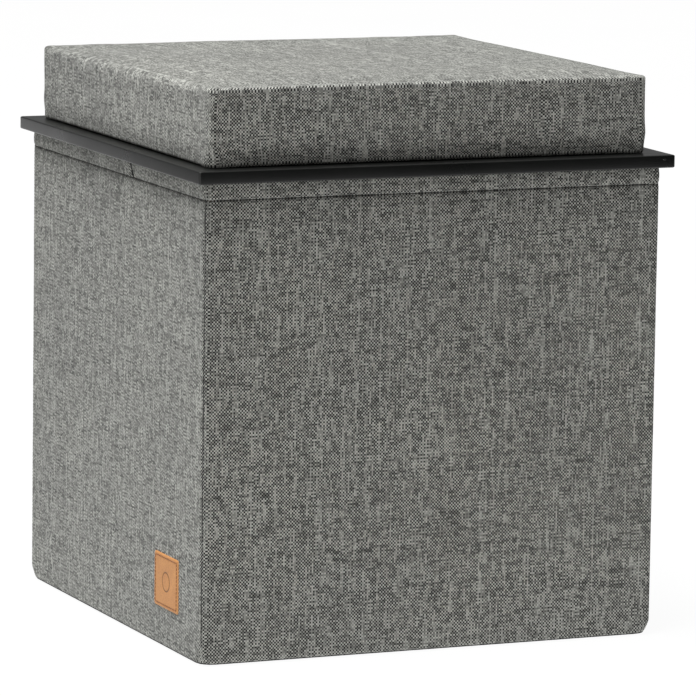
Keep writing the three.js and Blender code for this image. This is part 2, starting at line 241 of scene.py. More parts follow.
class Shader:
    """A node material with a Principled shader, and short ways to add nodes to it."""

    def __init__(self, name, **sockets):
        self.material = bpy.data.materials.new(name)
        self.material.use_nodes = True
        self.tree = self.material.node_tree
        self.surface = self.tree.nodes["Principled BSDF"]
        for key, value in sockets.items():
            self.surface.inputs[key.replace("_", " ")].default_value = value

    def node(self, kind, inputs=None, **settings):
        made = self.tree.nodes.new("ShaderNode" + kind)
        for key, value in settings.items():
            setattr(made, key, value)
        for key, value in (inputs or {}).items():
            self.put(made.inputs[key], value)
        return made

    def put(self, socket, value):
        if isinstance(value, bpy.types.NodeSocket):
            self.tree.links.new(value, socket)
        else:
            socket.default_value = value

    def maths(self, operation, *values, clamp=False):
        made = self.node("Math", operation=operation, use_clamp=clamp)
        for socket, value in zip(made.inputs, values):
            self.put(socket, value)
        return made.outputs[0]

    def times(self, first, second):
        return self.maths("MULTIPLY", first, second)

    def plus(self, first, second, clamp=False):
        return self.maths("ADD", first, second, clamp=clamp)

    def span(self, value, low, high, new_low=0.0, new_high=1.0):
        made = self.node("MapRange")
        for socket, given in zip(made.inputs, (value, low, high, new_low, new_high)):
            self.put(socket, given)
        return made.outputs[0]

    def spread(self, noise_value, new_low=0.0, new_high=1.0):
        """The range that most of a noise lies in, stretched to another range."""
        return self.span(noise_value, 0.3, 0.7, new_low, new_high)

    def blend(self, share, first, second, kind="MIX"):
        made = self.node("Mix", data_type="RGBA", blend_type=kind)
        self.put(made.inputs[0], share)
        self.put(made.inputs[6], first)
        self.put(made.inputs[7], second)
        return made.outputs[2]

    def vector(self, x, y, z=0.0):
        made = self.node("CombineXYZ")
        for socket, value in zip(made.inputs, (x, y, z)):
            self.put(socket, value)
        return made.outputs[0]

    def vectors(self, operation, first, second=(0.0, 0.0, 0.0)):
        return self.node("VectorMath", {0: first, 1: second}, operation=operation)

    def place(self):
        """The object's own coordinates, in metres."""
        return self.node("TexCoord").outputs["Object"]

    def cloth(self):
        """The two coordinates along the cloth, in metres."""
        unwrapped = self.node("UVMap", uv_map=WEAVE_UV).outputs[0]
        parts = self.node("SeparateXYZ", {0: unwrapped})
        return parts.outputs[0], parts.outputs[1]

    def noise(self, where, scale, detail=2.0, rough=0.5):
        made = self.node("TexNoise", {"Scale": scale, "Detail": detail, "Roughness": rough})
        self.put(made.inputs["Vector"], where)
        return made.outputs[0]

    def scatter(self, where):
        """A random value from 0 to 1 for each place."""
        return self.node("TexWhiteNoise", {0: where}, noise_dimensions="3D").outputs[0]

    def thread_wave(self, threads):
        """The rounded cross-section of a row of threads, from 0 between two threads to 1 on each one."""
        return self.maths("ABSOLUTE", self.maths("SINE", self.maths("MULTIPLY", threads, math.pi)))

    def bump(self, height, depth, strength):
        return self.node("Bump", {"Height": height, "Distance": depth, "Strength": strength}).outputs[0]

    def finish(self, **links):
        for key, value in links.items():
            self.put(self.surface.inputs[key.replace("_", " ")], value)
        return self.material


# ---------------- materials

WARP = 1.32 * MM  # thread spacing across the upright threads
WEFT = 1.36 * MM  # thread spacing across the level threads
WARP_SLUB, WEFT_SLUB = 85.0, 70.0  # slubs to the metre
WARP_FLECK, WEFT_FLECK = 6.0, 3.0  # crossings that a fleck runs along
WARP_SHADE, WEFT_SHADE = -0.07, 0.76  # the threads' shades, from dark to light, before they vary
WARP_VARIES, WEFT_VARIES = (0.55, 0.5, 1.1), (0.20, 0.35, 0.8)  # by thread, by slub and by fleck
THREAD_DEPTH = 0.35 * MM


def melange_fabric(light, dark):
    """Grey melange plain weave: upright and level threads that pass over each other, each with its own shade,
    darker and lighter slubs along the threads, painted shade in the pits between them, and rounded crossings."""
    s = Shader("melange_fabric", Roughness=0.92, Sheen_Weight=0.12, Sheen_Roughness=0.5,
               Specular_IOR_Level=0.25)
    u, v = s.cloth()
    across, down = s.maths("DIVIDE", u, WARP), s.maths("DIVIDE", v, WEFT)
    column, row = s.maths("FLOOR", across), s.maths("FLOOR", down)
    over = s.maths("PINGPONG", s.plus(column, row), 1.0)
    over = s.maths("GREATER_THAN", over, 0.5)

    # Shade along each thread: its own tone, slubs a centimetre long, and flecks a few crossings long.
    # The other numbers only keep one thread's pattern apart from the next one's
    warp_tone = s.scatter(s.vector(column, 3.0, 1.0))
    weft_tone = s.scatter(s.vector(row, 9.0, 2.0))
    warp_slub = s.noise(s.vector(s.times(column, 7.31), s.times(v, WARP_SLUB), 0.0), 1.0, 1.0)
    weft_slub = s.noise(s.vector(s.times(u, WEFT_SLUB), s.times(row, 5.77), 4.0), 1.0, 1.0)
    step = s.plus(s.maths("DIVIDE", row, WARP_FLECK), s.times(warp_tone, 7.0))
    warp_fleck = s.scatter(s.vector(column, s.maths("FLOOR", step), 5.0))
    step = s.plus(s.maths("DIVIDE", column, WEFT_FLECK), s.times(weft_tone, 7.0))
    weft_fleck = s.scatter(s.vector(s.maths("FLOOR", step), row, 6.0))

    def shade(base, varies, *values):
        for share, value in zip(varies, values):
            base = s.plus(base, s.times(s.maths("SUBTRACT", value, 0.5), share))
        return base

    shade_warp = shade(WARP_SHADE, WARP_VARIES, warp_tone, warp_slub, warp_fleck)
    shade_weft = shade(WEFT_SHADE, WEFT_VARIES, weft_tone, weft_slub, weft_fleck)
    top = s.node("Mix", {0: over, 2: shade_weft, 3: shade_warp}).outputs[0]

    # Height of the rounded threads, with pits at the crossings' corners
    wave_u, wave_v = s.thread_wave(across), s.thread_wave(down)
    crown = s.times(s.maths("POWER", wave_u, 0.6), s.maths("POWER", wave_v, 0.6))
    # Darker in the pits between the threads: painted shade
    thread_gap_shade = s.span(crown, 0.1, 0.55, 0.8, 1.0)
    tone = s.times(s.maths("MAXIMUM", s.maths("MINIMUM", top, 1.0), 0.0), thread_gap_shade)
    colour = s.blend(tone, dark, light)

    # Broad, faint unevenness of the dye, a little weaker in the blue
    broad = s.noise(s.place(), 9.0, 2.0)
    dye = [s.spread(broad, 1 - change, 1 + change) for change in (0.05, 0.05, 0.045)]
    tint = s.node("CombineColor", dict(enumerate(dye))).outputs[0]
    colour = s.blend(1.0, colour, tint, "MULTIPLY")
    height = s.plus(crown, s.times(top, 0.5))
    return s.finish(Base_Color=colour, Normal=s.bump(height, THREAD_DEPTH, 0.2))


def powder_coat():
    """Black powder coat: satin, with fine orange peel, a few dust nibs, and paler rounded edges that are a
    painted highlight.
    """
    s = Shader("black_powder_coat", Metallic=0.0, Specular_IOR_Level=0.5, IOR=1.5)
    where = s.place()
    peel = s.noise(where, 900.0, 2.0, 0.5)
    broad = s.noise(where, 14.0, 3.0)
    nibs = s.node("TexVoronoi", {"Scale": 130.0, "Vector": where}, feature="F1").outputs["Distance"]
    nib = s.span(nibs, 0.03, 0.09, 1.0, 0.0)
    # Paler where the surface is convex, along the rounded edges: a painted highlight
    edge = s.node("NewGeometry").outputs["Pointiness"]
    edge_highlight = s.span(edge, 0.52, 0.62, 0.0, 0.7)
    colour = s.blend(edge_highlight, linear(17, 18, 17), linear(84, 85, 82))
    rough = s.spread(broad, 0.27, 0.36)
    height = s.plus(s.times(peel, 0.6), nib)
    return s.finish(Base_Color=colour, Roughness=rough, Normal=s.bump(height, 0.03 * MM, 0.6))


TAG_RING = 7.5 * MM  # radius of the ring pressed into the tag
TAG_SHIFT = Vector((0, -2.5, 2.5)) * MM  # from the tag's solid, a little forwards and up


def leather():
    """Tan leather: fine pebbled grain, pores, soft blotches, and painted shade that darkens its hollows, such
    as the stitch groove.
    """
    s = Shader("tan_leather", Roughness=0.55, Specular_IOR_Level=0.4)
    where = s.place()
    pebble = s.node("TexVoronoi", {"Scale": 1100.0, "Vector": where}, feature="SMOOTH_F1").outputs[0]
    pores = s.noise(where, 2600.0, 2.0)
    blotch = s.noise(where, 70.0, 4.0, 0.6)
    colour = s.blend(s.spread(blotch), linear(205, 142, 82), linear(224, 163, 104))
    colour = s.blend(s.span(pebble, 0.35, 0.75, 0.0, 0.35), colour, linear(160, 98, 52))
    # Darker where the surface is concave, in the grooves and hollows: painted shade
    edge = s.node("NewGeometry").outputs["Pointiness"]
    colour = s.blend(s.span(edge, 0.44, 0.49, 0.6, 0.0), colour, linear(120, 70, 38))
    middle = tuple((tag_low + tag_high) / 2 + TAG_SHIFT)
    from_middle = s.vectors("SUBTRACT", where, middle).outputs[0]
    far = s.vectors("LENGTH", from_middle).outputs["Value"]
    off_ring = s.maths("ABSOLUTE", s.maths("SUBTRACT", far, TAG_RING))
    colour = s.blend(s.span(off_ring, 0.3 * MM, 0.8 * MM, 0.75, 0.0), colour, linear(96, 56, 30))
    height = s.maths("SUBTRACT", s.times(pores, 0.4), pebble)
    rough = s.spread(blotch, 0.48, 0.62)
    return s.finish(Base_Color=colour, Roughness=rough, Normal=s.bump(height, 0.12 * MM, 0.5))


def nonwoven():
    """Black spun-bonded cloth: small round press points in a staggered grid over matted fibres."""
    s = Shader("black_nonwoven", Roughness=0.85, Sheen_Weight=0.2, Sheen_Roughness=0.4)
    u, v = s.cloth()
    pitch = 1.6 * MM
    points = s.node("TexVoronoi", {"Scale": 1.0 / pitch, "Randomness": 0.12}, feature="F1",
                    voronoi_dimensions="2D")
    s.put(points.inputs["Vector"], s.vector(u, v))
    press = s.span(points.outputs["Distance"], 0.18, 0.34)
    fibres = s.noise(s.vector(s.times(u, 3.0), v), 1500.0, 3.0, 0.7)
    colour = s.blend(s.times(press, fibres), linear(16, 16, 17), linear(44, 44, 46))
    height = s.plus(s.times(press, 0.6), s.times(fibres, 0.4))
    return s.finish(Base_Color=colour, Normal=s.bump(height, 0.2 * MM, 0.6))


def lining():
    """Dark grey lining: a fine, dense plain weave with a soft sheen."""
    s = Shader("lining_weave", Roughness=0.7, Sheen_Weight=0.25, Sheen_Roughness=0.35)
    u, v = s.cloth()
    spacing = 0.5 * MM
    across, down = s.maths("DIVIDE", u, spacing), s.maths("DIVIDE", v, spacing)
    wave = s.times(s.thread_wave(across), s.thread_wave(down))
    streak = s.noise(s.vector(s.times(u, 900.0), s.times(v, 30.0)), 1.0, 2.0)
    share = s.plus(s.times(wave, 0.5), s.times(streak, 0.6), clamp=True)
    colour = s.blend(share, linear(42, 43, 44), linear(88, 89, 88))
    return s.finish(Base_Color=colour, Normal=s.bump(wave, 0.15 * MM, 0.5))


def plywood():
    """Birch plywood: long face grain, and thin alternate layers on its edges."""
    s = Shader("birch_plywood", Roughness=0.6)
    where = s.place()
    parts = s.node("SeparateXYZ", {0: where})
    grain = s.noise(s.vector(s.times(parts.outputs[0], 6.0), s.times(parts.outputs[1], 130.0),
                             parts.outputs[2]), 1.0, 5.0, 0.6)
    layers = s.maths("PINGPONG", s.times(parts.outputs[2], 1.0 / (1.7 * MM)), 1.0)
    colour = s.blend(s.span(grain, 0.35, 0.7), linear(214, 184, 140), linear(176, 138, 94))
    colour = s.blend(s.span(layers, 0.45, 0.55, 0.0, 0.35), colour, linear(140, 104, 68))
    return s.finish(Base_Color=colour, Normal=s.bump(grain, 0.2 * MM, 0.5))


def panel_board():
    """Pressed fibre board: pale brown, finely speckled, slightly fuzzy."""
    s = Shader("fibre_board", Roughness=0.8)
    where = s.place()
    specks = s.noise(where, 1400.0, 3.0, 0.7)
    clouds = s.noise(where, 30.0, 3.0)
    colour = s.blend(s.span(specks, 0.35, 0.65), linear(150, 116, 78), linear(186, 152, 110))
    colour = s.blend(s.spread(clouds, 0.0, 0.3), colour, linear(140, 108, 74))
    return s.finish(Base_Color=colour, Normal=s.bump(specks, 0.15 * MM, 0.5))


def black_plastic():
    """Moulded black plastic with a fine spark-eroded texture."""
    s = Shader("black_plastic", Specular_IOR_Level=0.45)
    where = s.place()
    grain = s.noise(where, 1800.0, 2.0, 0.6)
    scuffs = s.noise(where, 60.0, 4.0, 0.6)
    colour = s.blend(s.span(scuffs, 0.45, 0.7), linear(20, 20, 21), linear(34, 34, 35))
    return s.finish(Base_Color=colour, Roughness=s.spread(scuffs, 0.42, 0.58),
                    Normal=s.bump(grain, 0.06 * MM, 0.6))


def screw_steel():
    """Zinc-plated steel: pale, slightly yellow, with soft blotches and fine scratches."""
    s = Shader("zinc_steel", Metallic=1.0)
    where = s.place()
    blotch = s.noise(where, 260.0, 3.0)
    scratch = s.noise(s.vectors("MULTIPLY", where, (300.0, 4000.0, 300.0)).outputs[0], 1.0, 2.0)
    colour = s.blend(s.spread(blotch), linear(196, 194, 186), linear(222, 219, 208))
    return s.finish(Base_Color=colour, Roughness=s.spread(scratch, 0.22, 0.42))


def thread(name, colour):
    """Twisted sewing thread."""
    s = Shader(name, Roughness=0.75, Sheen_Weight=0.2)
    twist = s.node("TexWave", {"Scale": 900.0, "Vector": s.place(), "Distortion": 1.0},
                   bands_direction="DIAGONAL").outputs[1]
    dark = (*(channel * 0.5 for channel in colour[:3]), 1.0)
    shade = s.blend(s.span(twist, 0.2, 0.8, 0.0, 0.5), colour, dark)
    return s.finish(Base_Color=shade, Normal=s.bump(twist, 0.05 * MM, 0.5))


def clothe(piece, material, body, slot, *nodes):
    """Gives a piece its material, its body and the CAD nodes it stands for. Its slot is not used."""
    piece.data.materials.clear()
    piece.data.materials.append(material)
    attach(piece, body)
    if nodes:
        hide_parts(*nodes)
    return piece


# ---------------- box

SEAM_SHARE = 0.3  # how far round each corner its seam runs, from the side panels
SEAM_DEPTH, SEAM_SPREAD = 1.3 * MM, 0.15
RIDGE_RISE, RIDGE_SPREAD, RIDGE_OFFSET = 0.25 * MM, 0.12, 0.24  # the raised allowance beside each seam
CORNER_STATIONS = 15
TURN_UNDER = 26 * MM  # how far the sleeve is turned under the base


def rounded(places, half, radius):
    """The (x, y) places of a square of that half width, with those in its corners moved in to the radius."""
    core = half - radius
    beyond = np.maximum(np.abs(places) - core, 0)
    length = np.linalg.norm(beyond, axis=1, keepdims=True)
    inward = np.minimum(1, radius / np.maximum(length, 1e-9))
    in_corner = (beyond > 0).all(axis=1, keepdims=True)
    moved = np.sign(places) * (core + beyond * inward)
    return np.where(in_corner, moved, places)


def by_seam(rows, offset, spread):
    """A bump from 0 to 1 at each corner, at an offset from its seam. Offset and spread are shares of the
    turned corner."""
    side, share = rows[:, 0], rows[:, 2]
    from_seam = np.where(side % 2 == 0, share - (1 - SEAM_SHARE), SEAM_SHARE - share)
    return np.where(share > 0, bell((from_seam + offset) / spread), 0.0)


def outer_cover(material):
    """The box's fabric sleeve: drawn over the panels, seamed at the corners and turned under the base."""
    bottom, top = cover_low.z, cover_high.z
    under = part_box("base_panel")[0].z - CLOTH * 0.3
    edge, plan, low_plan, lift = 1.9 * MM, COVER_PLAN, 13 * MM, 11 * MM
    inside, opening = COVER_HALF - CLOTH, COVER_HALF - TURN_UNDER
    profile = [(COVER_HALF - 1.0 * MM, plan, top), (COVER_HALF - 0.35 * MM, plan, top - 0.5 * MM)]
    profile += [(COVER_HALF, plan, z) for z in np.linspace(top - 1.6 * MM, bottom + 20 * MM, 44)]
    for z in np.linspace(bottom + 17 * MM, bottom + edge + 1 * MM, 7):
        profile.append((COVER_HALF, plan + (low_plan - plan) * smoothstep((bottom + lift - z) / lift), z))
    profile += arc(low_plan, COVER_HALF - edge, bottom + edge, edge, 0, -90, 6)
    seen = len(profile)
    profile += [(COVER_HALF - reach, low_plan, bottom) for reach in (9 * MM, 17 * MM)]
    profile += [(opening, low_plan, bottom + 0.1 * MM), (opening, low_plan, under)]
    profile += [(inside - 14 * MM, low_plan, under), (inside - 1 * MM, low_plan, under)]
    profile += [(inside, low_plan - CLOTH, under + 2 * MM), (inside, plan - CLOTH, bottom + lift + 4 * MM)]
    profile += [(inside, plan - CLOTH, z) for z in np.linspace(bottom + 40 * MM, top - 3 * MM, 8)]
    profile += [(inside, plan - CLOTH, top)]
    radii = [radius for _, radius, _ in profile]
    profile = [(half, min(radius, plan), z) for half, radius, z in profile]
    rows = stations(64, CORNER_STATIONS)
    seam = by_seam(rows, 0, SEAM_SPREAD)
    ridge = by_seam(rows, RIDGE_OFFSET, RIDGE_SPREAD)

    def shape(at, out):
        for row, (half, _, _), radius in zip(at, profile, radii):
            row[:, :2] = rounded(row[:, :2], half, radius)
        face = at[:seen]
        high = smoothstep((face[..., 2] - bottom) / (22 * MM))
        beside = np.minimum(abs(face[..., 0]), abs(face[..., 1]))
        flat = 1 - smoothstep((beside - 150 * MM) / (38 * MM))
        broad = soft_noise(face, 90 * MM, 1, 0.6)
        tight = soft_noise(face, 24 * MM, 2)
        move = (0.45 * broad + 0.35) * flat * high + 0.10 * tight * high
        move = move * MM - seam * SEAM_DEPTH * (0.35 + 0.65 * high) + ridge * RIDGE_RISE * high
        at[:seen] = face + out[:seen] * move[..., None]
        return at

    cover = ring("outer_cover_fabric", rows, profile, shape)
    clothe(cover, material, "box", "melange_fabric", "outer_cover")


def hem_binding(material):
    """The folded binding over the box's rim, gathered into a seam along its lower edge."""
    bottom, top = hem_low.z, hem_high.z
    plan, fold, proud, inner_plan = COVER_PLAN, 1.3 * MM, 0.35 * MM, 2 * MM
    profile = [(COVER_HALF - 1.1 * MM, plan, bottom), (COVER_HALF - 0.3 * MM, plan, bottom + 0.5 * MM)]
    for t in np.linspace(0.1, 0.9, 6):
        level = bottom + 1.4 * MM + (top - bottom - 3 * MM) * t
        profile.append((COVER_HALF + proud * math.sin(math.pi * t), plan, level))
    profile += arc(plan, COVER_HALF - fold, top - fold, fold, 0, 90, 5)
    seen = len(profile)
    mouth = lining_high.x - 0.8 * MM
    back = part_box("wall_front")[1].z + 0.25 * MM
    profile += [(COVER_HALF - 5 * MM, plan, top - 0.1 * MM), (mouth + 2 * MM, inner_plan, top - 0.1 * MM)]
    profile += [(mouth + 0.3 * MM, inner_plan, top - 0.5 * MM), (mouth, inner_plan, top - 1.5 * MM)]
    profile += [(mouth, inner_plan, bottom + 1 * MM), (mouth + 0.4 * MM, inner_plan, bottom)]
    profile += [(mouth + 0.8 * MM, inner_plan, z) for z in (bottom + 1 * MM, back)]
    profile += [(COVER_HALF - CLOTH, plan - CLOTH, z) for z in (back, bottom + 1 * MM)]
    rows = stations(110, CORNER_STATIONS)
    seam = by_seam(rows, 0, SEAM_SPREAD)

    def shape(at, out):
        face = at[:seen]
        pucker = soft_noise(face, 7 * MM, 3, 0.35)
        broad = soft_noise(face, 45 * MM, 4)
        low = 1 - smoothstep((face[..., 2] - bottom) / (5 * MM))
        move = (0.16 * pucker * (0.5 + low) + 0.18 * broad - 0.7 * seam) * MM
        at[:seen] = face + out[:seen] * move[..., None]
        return at

    hem = ring("hem_binding_fabric", rows, profile, shape)
    clothe(hem, material, "box", "melange_fabric", "hem_binding")


CAPSULE = ((0.0, 0.35), (0.12, 0.9), (0.5, 1.0), (0.88, 0.9), (1.0, 0.35))  # share of its length, and girth


def capsules(name, segments, radius, sides=6, flatten=1.0):
    """Short rounded threads or wires in one mesh. Each has two ends and the direction it is flattened in."""
    points, faces = [], []
    for start, end, out in segments:
        start, end, out = Vector(start), Vector(end), Vector(out)
        axis = (end - start).normalized()
        across = axis.cross(out).normalized()
        length = (end - start).length
        first = len(points)
        for share, girth in CAPSULE:
            for k in range(sides):
                angle = 2 * math.pi * k / sides
                offset = across * math.cos(angle) + out * (math.sin(angle) * flatten)
                points.append(start + axis * (share * length) + offset * (radius * girth))
        for r in range(len(CAPSULE) - 1):
            for k in range(sides):
                a, b = first + r * sides + k, first + r * sides + (k + 1) % sides
                faces.append((a, b, b + sides, a + sides))
        faces.append(tuple(first + k for k in range(sides)))
        last = first + (len(CAPSULE) - 1) * sides
        faces.append(tuple(last + k for k in reversed(range(sides))))
    return finish_mesh(name, points, faces)


def along_square(half, level, pitch, length, margin):
    """Start, end and outward direction of short stitches along the four sides of a square."""
    places = []
    count = int(2 * (half - margin) / pitch)
    for out, along in zip(OUTWARD, ALONG):
        for k in range(count):
            middle = (k - (count - 1) / 2) * pitch
            a = out * half + along * (middle - length / 2)
            b = out * half + along * (middle + length / 2)
            places.append(((a[0], a[1], level), (b[0], b[1], level), (out[0], out[1], 0.0)))
    return places


def corner_seam_shade(material):
    """Dark stitches at the bottom of the four corner seams: a dark cord that stands for the seams' shadow,
    painted shade.
    """
    pitch, length = 3.4 * MM, 3.1 * MM
    low, high = cover_low.z + 13 * MM, hem_high.z - 2 * MM
    corners = np.array([(side, 1.0, 1 - SEAM_SHARE if side % 2 == 0 else SEAM_SHARE) for side in range(4)])
    places, normals, _ = outline(corners, COVER_HALF, COVER_PLAN)
    stitches = []
    for place, normal in zip(places, normals):
        x, y = place - normal * 0.75 * MM
        for z in np.arange(low, high - length, pitch):
            stitches.append(((x, y, z), (x, y, z + length), (normal[0], normal[1], 0.0)))
    seams = capsules("corner_seam_shade_stitches", stitches, 0.42 * MM)
    clothe(seams, material, "box", "melange_fabric")


def hem_stitches(material):
    """The row of lockstitch that gathers the binding's lower edge."""
    level = (cover_high.z + hem_low.z) / 2
    places = along_square(COVER_HALF - 0.75 * MM, level, pitch=3.4 * MM, length=2.6 * MM, margin=6 * MM)
    stitches = capsules("hem_stitches", places, 0.32 * MM)
    clothe(stitches, material, "box", "melange_fabric")


def hem_join(material, tacking):
    """Where the binding's two ends overlap, on the left side: a folded end lying askew with a small pleat."""
    bottom, top = hem_low.z + 0.6 * MM, hem_high.z - 1.2 * MM
    centre, slope, wide = -33 * MM, 0.62, 13 * MM
    proud, sunk, turn = 0.25 * MM, 0.4 * MM, 0.5
    across, up = np.linspace(0, 1, 25), np.linspace(0, 1, 11)
    points = []
    for front in (True, False):
        for t in up:
            for s in across:
                z = bottom + (top - bottom) * t
                y = centre + s * wide - slope * (top - z)
                edge = min(1.0, min(s, 1 - s) * 9)
                pleat = 0.45 * bell((s - 0.42 - 0.1 * t) / 0.09)
                rise = (0.75 * edge + pleat) * MM * (0.75 + 0.25 * math.sin(math.pi * t))
                points.append((-COVER_HALF - (proud + rise if front else -sunk), y, z))
    faces = shell_faces(len(across), len(up))
    # The folded end's threads run aslant
    turned = [(y * math.cos(turn) - z * math.sin(turn), y * math.sin(turn) + z * math.cos(turn))
              for _, y, z in points]
    join = finish_mesh("hem_join", points, faces, [turned[v] for face in faces for v in face])
    clothe(join, material, "box", "melange_fabric")
    ends = [(-COVER_HALF - 0.5 * MM, centre - slope * (top - z), z) for z in np.linspace(bottom, top, 5)]
    tacks = capsules("hem_join_stitches", [(a, b, (-1, 0, 0)) for a, b in zip(ends, ends[1:])], 0.55 * MM)
    clothe(tacks, tacking, "box", "melange_fabric")


def lining_pieces(material):
    """The storage space's lining: soft walls with slight slack, and a floor laid on the base."""
    low, high = lining_low.z, lining_high.z
    half, plan = lining_high.x, 3 * MM
    inner = half - 0.8 * MM
    profile = [(half, plan, high), (half, plan, low + 1 * MM), (inner, plan, low + 1 * MM)]
    profile += [(inner, plan, z) for z in np.linspace(low + 5 * MM, high - 2 * MM, 34)]
    profile += [(inner + 0.2 * MM, plan, high)]
    rows = stations(48, 5)

    def shape(at, out):
        face = at[2:]
        level = (face[..., 2] - low) / (high - low)
        slack = np.sin(np.clip(level, 0, 1) * math.pi) ** 0.7
        folds = soft_noise(face, 55 * MM, 5, 0.3)
        small = soft_noise(face, 18 * MM, 6, 0.5)
        move = (1.3 + 1.1 * folds + 0.35 * small) * slack * MM
        at[2:] = face - out[2:] * move[..., None]
        return at

    sides = ring("lining_sides", rows, profile, shape)
    clothe(sides, material, "box", "lining_cloth", "lining")

    grid = np.linspace(-(inner - 0.3 * MM), inner - 0.3 * MM, 61)

    def lift(x, y):
        near = max(abs(x), abs(y)) / inner
        rise = 1.1 + (0.5 + 0.5 * ripple(x, y, 0.06, 3.3)) * (1 - near ** 4) + 1.2 * near ** 24
        return low + rise * MM

    floor = slab("lining_floor", grid, lift, 0.8 * MM)
    clothe(floor, material, "box", "lining_cloth")


def bottom_cloth(material):
    """The dust cloth stapled under the box, with its edge just inside the fabric's turn-under."""
    half, corner = bottom_high.x + 3.4 * MM, 12 * MM

    def lift(x, y):
        near = max(abs(x), abs(y)) / half
        return (1.15 - 0.35 * (1 - near ** 6) * (1 + ripple(x, y, 0.05, 8.1))) * MM

    cloth = slab("bottom_cloth_fabric", np.linspace(-half, half, 61), lift, 0.45 * MM)
    for vertex in cloth.data.vertices:
        vertex.co.xy = round_corner(vertex.co.x, vertex.co.y, half, half, corner)
    clothe(cloth, material, "box", "black_cloth", "bottom_cloth")


def bottom_staples(material):
    """Staples round the bottom cloth, their crowns a little askew."""
    draw = random.Random(11)
    places = []
    half, level, length, pitch, per_side = 178 * MM, 0.42 * MM, 10 * MM, 40 * MM, 9
    for out, along in zip(OUTWARD, ALONG):
        for k in range(per_side):
            middle = (k - per_side // 2) * pitch + draw.uniform(-4, 4) * MM
            inward = draw.uniform(0, 4) * MM
            tilt = draw.uniform(-0.25, 0.25)
            way = along * math.cos(tilt) + out * math.sin(tilt)
            centre = out * (half - inward) + along * middle
            a, b = centre - way * length / 2, centre + way * length / 2
            places.append(((a[0], a[1], level), (b[0], b[1], level), (0, 0, -1)))
    staples = capsules("bottom_staples", places, 0.4 * MM, 6, 0.8)
    clothe(staples, material, "box", "screw_steel")


def leather_tag(material, seam):
    """The leather tag on the left side, with a stitched border and a plain pressed ring."""
    back, thick, corner = -COVER_HALF + 0.1 * MM, 1.55 * MM, 2.2 * MM
    _, mid_y, mid_z = (tag_low + tag_high) / 2 + TAG_SHIFT
    half_y, half_z = (tag_high.y - tag_low.y) / 2, (tag_high.z - tag_low.z) / 2
    steps_y, steps_z = 101, 87
    stitch_in, groove = 2.6 * MM, 0.55 * MM

    points = []
    for front in (True, False):
        for b in np.linspace(-half_z, half_z, steps_z):
            for a in np.linspace(-half_y, half_y, steps_y):
                edge = min(half_y - abs(a), half_z - abs(b))
                rise = thick * (0.62 + 0.38 * float(smoothstep(edge / (1.1 * MM))))
                rise -= 0.22 * MM * bell((edge - stitch_in) / groove)
                rise -= 0.30 * MM * bell((math.hypot(a, b) - TAG_RING) / groove)
                rise += 0.05 * MM * ripple(a, b, 0.006, 1.7)
                ya, zb = round_corner(a, b, half_y, half_z, corner)
                points.append((back - rise if front else back, mid_y + ya, mid_z + zb))
    tag = finish_mesh("leather_tag_piece", points, shell_faces(steps_y, steps_z))
    clothe(tag, material, "box", "tan_leather", "leather_tag")

    stitches = []
    level = back - thick + 0.02 * MM
    pitch, length = 3.2 * MM, 2.3 * MM
    for along_y in (True, False):
        reach = (half_y if along_y else half_z) - stitch_in
        across = (half_z if along_y else half_y) - stitch_in
        count = int(round(2 * reach / pitch))
        step = 2 * reach / count
        for sign in (-1, 1):
            for k in range(count):
                middle = -reach + (k + 0.5) * step
                ends = []
                for end in (-length / 2, length / 2):
                    a, b = (middle + end, sign * across) if along_y else (sign * across, middle + end)
                    ends.append((level, mid_y + a, mid_z + b))
                stitches.append((*ends, (-1, 0, 0)))
    border = capsules("tag_stitches", stitches, 0.34 * MM, 8)
    clothe(border, seam, "box", "tan_leather")


# ---------------- lid


def lid_frame(material):
    """The welded frame of flat tube: rounded long edges, and faint dressed welds across its mitres."""
    low, high = rail_low.z, rail_high.z
    outer, inner = FRAME_HALF, FRAME_HALF - RAIL_WIDTH
    edge, plan, flat_plan, inner_plan = 1.1 * MM, 1.3 * MM, 1.0 * MM, 0.6 * MM
    profile = arc(plan, outer - edge, high - edge, edge, 90, 0, 6)
    profile += arc(plan, outer - edge, low + edge, edge, 0, -90, 6)
    profile += [(outer - RAIL_WIDTH * t, flat_plan, low) for t in (0.25, 0.5, 0.75)]
    profile += arc(inner_plan, inner + edge, low + edge, edge, 270, 180, 6)
    profile += arc(inner_plan, inner + edge, high - edge, edge, 180, 90, 6)
    profile += [(outer - RAIL_WIDTH * t, flat_plan, high) for t in (0.75, 0.5, 0.25)]
    rows = stations(60, 11, 0.75)
    mitre, weld_spread = 0.5, 0.10

    def shape(at, out):
        weld = bell((rows[:, 2] - mitre) / weld_spread) * (rows[:, 2] > 0)
        up = np.zeros_like(at)
        middle = (low + high) / 2
        up[..., 2] = np.where(at[..., 2] > middle, 1.0, -1.0)
        level = abs(at[..., 2] - middle) > (high - low) / 2 - edge * 0.5
        bead = soft_noise(at, 3.5 * MM, 7)
        depth = weld * (0.16 + 0.08 * bead) * MM
        return at - np.where(level[..., None], up, out) * depth[..., None]

    piece = ring("lid_frame", rows, profile, shape)
    rails = ["frame_rail_front", "frame_rail_back", "frame_rail_left", "frame_rail_right"]
    clothe(piece, material, "lid", "black_steel", *rails)


def paint_nib(material):
    """A run of paint that dried as a small raised drop near the right end of the front rail."""
    built = bmesh.new()
    bmesh.ops.create_uvsphere(built, u_segments=20, v_segments=12, radius=1.0)
    middle = Vector((FRAME_HALF - 9.5 * MM, -FRAME_HALF, rail_high.z - 3.3 * MM))
    for vertex in built.verts:
        x, y, z = vertex.co
        vertex.co = Vector((x * 1.5, y * 0.35, z * (0.7 + 0.2 * x))) * MM + middle
    piece = from_bmesh("paint_nib", built)
    piece.data.polygons.foreach_set("use_smooth", [True] * len(piece.data.polygons))
    clothe(piece, material, "lid", "black_steel")


